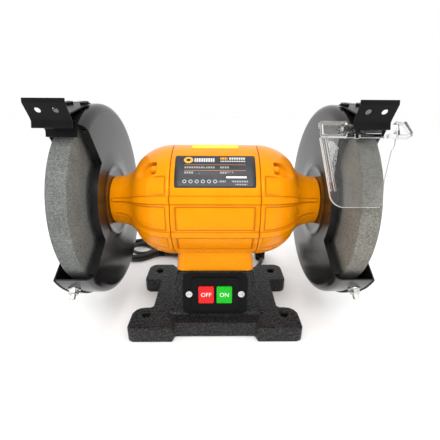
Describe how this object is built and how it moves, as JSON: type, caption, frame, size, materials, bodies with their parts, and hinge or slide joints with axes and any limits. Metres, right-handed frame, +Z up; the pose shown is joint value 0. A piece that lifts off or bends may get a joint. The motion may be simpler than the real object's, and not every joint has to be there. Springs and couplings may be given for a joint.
{
  "type": "bench grinder",
  "caption": "Double-ended bench grinder: yellow motor, black wheel guards and cast base, a sprung two-key switch, a clear eye shield on one side and a tied mains cord with a plug.",
  "frame": {"origin": "middle of the rectangle of bench bolt holes, on the surface that the feet stand on", "axes": "+X along the shaft to the right end as seen from the switch, +Y to the back, +Z up"},
  "size_m": [0.355, 0.2882, 0.2666],
  "materials": {
    "yellow_paint": "gloss orange-yellow paint on cast aluminium",
    "hammered_black": "charcoal hammered paint on cast iron",
    "guard_paint": "gloss black paint on pressed steel",
    "zinc_steel": "bright zinc plated steel",
    "ground_steel": "ground and turned steel",
    "lamination": "stacked steel laminations",
    "copper_winding": "varnished copper winding",
    "abrasive": "grey vitrified abrasive grain",
    "blotter_paper": "card blotter",
    "clear_plastic": "clear moulded plastic",
    "slate_label": "printed slate label",
    "yellow_label": "bright yellow label",
    "black_plastic": "black moulded plastic",
    "red_plastic": "red button plastic",
    "green_plastic": "green button plastic",
    "grey_can": "drawn aluminium can",
    "cord_sheath": "black flexible cord sheath",
    "plug_rubber": "black moulded plug body with plated blades",
    "tie_plastic": "twist tie"
  },
  "bodies": {
    "machine": {"base_casting": "hammered_black", "bottom_plate": "zinc_steel", "bottom_plate_screws": "zinc_steel", "motor_housing": "yellow_paint", "pedestal_screws": "zinc_steel", "left_end_bell": "yellow_paint", "right_end_bell": "yellow_paint", "left_bell_screws": "zinc_steel", "right_bell_screws": "zinc_steel", "stator_core": "lamination", "stator_windings": "copper_winding", "left_bearing_outer": "ground_steel", "right_bearing_outer": "ground_steel", "wave_washer": "zinc_steel", "left_guard": "guard_paint", "right_guard": "guard_paint", "left_guard_cover": "guard_paint", "right_guard_cover": "guard_paint", "left_guard_screws": "zinc_steel", "right_guard_screws": "zinc_steel", "left_cover_screws": "zinc_steel", "right_cover_screws": "zinc_steel", "left_arrester_screws": "zinc_steel", "right_arrester_screws": "zinc_steel", "left_rest_bolt": "zinc_steel", "right_rest_bolt": "zinc_steel", "rating_plate": "slate_label", "top_label": "yellow_label", "switch_plate": "black_plastic", "switch_body": "black_plastic", "switch_screws": "zinc_steel", "capacitor": "grey_can", "capacitor_clamp": "zinc_steel", "cord_gland": "black_plastic", "cord_tail": "cord_sheath", "cord_hank": "cord_sheath", "cord_tie": "tie_plastic", "cord_lead": "cord_sheath", "mains_plug": "plug_rubber"},
    "rotor": {"shaft": "ground_steel", "rotor_core": "lamination", "left_bearing_inner": "ground_steel", "right_bearing_inner": "ground_steel", "left_inner_flange": "ground_steel", "right_inner_flange": "ground_steel", "left_blotters": "blotter_paper", "right_blotters": "blotter_paper", "left_wheel": "abrasive", "right_wheel": "abrasive", "left_outer_flange": "ground_steel", "right_outer_flange": "ground_steel", "left_nut": "zinc_steel", "right_nut": "zinc_steel"},
    "left_cage": {"left_bearing_balls": "ground_steel"},
    "right_cage": {"right_bearing_balls": "ground_steel"},
    "left_arrester": {"left_spark_arrester": "guard_paint"},
    "right_arrester": {"right_spark_arrester": "guard_paint"},
    "shield": {"eye_shield": "clear_plastic"},
    "off_key": {"off_button": "red_plastic"},
    "on_key": {"on_button": "green_plastic"}
  },
  "joints": [
    {"name": "rotor_spin", "type": "hinge", "parent": "machine", "child": "rotor", "pos_m": [0, 0.005, 0.15], "axis": [1, 0, 0], "continuous": true},
    {"name": "left_cage_spin", "type": "hinge", "parent": "machine", "child": "left_cage", "pos_m": [-0.1085, 0.005, 0.15], "axis": [1, 0, 0], "continuous": true},
    {"name": "right_cage_spin", "type": "hinge", "parent": "machine", "child": "right_cage", "pos_m": [0.1085, 0.005, 0.15], "axis": [1, 0, 0], "continuous": true},
    {"name": "left_arrester_adjust", "type": "slide", "parent": "machine", "child": "left_arrester", "axis": [0, -0.9877, -0.1564], "range_m": [-0.003, 0.003]},
    {"name": "right_arrester_adjust", "type": "slide", "parent": "machine", "child": "right_arrester", "axis": [0, -0.9877, -0.1564], "range_m": [-0.003, 0.003]},
    {"name": "shield_tilt", "type": "hinge", "parent": "right_arrester", "child": "shield", "pos_m": [0.14, -0.066, 0.241], "axis": [1, 0, 0], "range_deg": [-55, 2]},
    {"name": "off_press", "type": "slide", "parent": "machine", "child": "off_key", "axis": [0, 0.9753, -0.2208], "range_m": [0, 0.0025], "stiffness_N_per_m": 900},
    {"name": "on_press", "type": "slide", "parent": "machine", "child": "on_key", "axis": [0, 0.9753, -0.2208], "range_m": [0, 0.0025], "stiffness_N_per_m": 900}
  ],
  "couplings": [
    {"joint": "left_cage_spin", "follows": "rotor_spin", "ratio": 0.377},
    {"joint": "right_cage_spin", "follows": "rotor_spin", "ratio": 0.377}
  ]
}
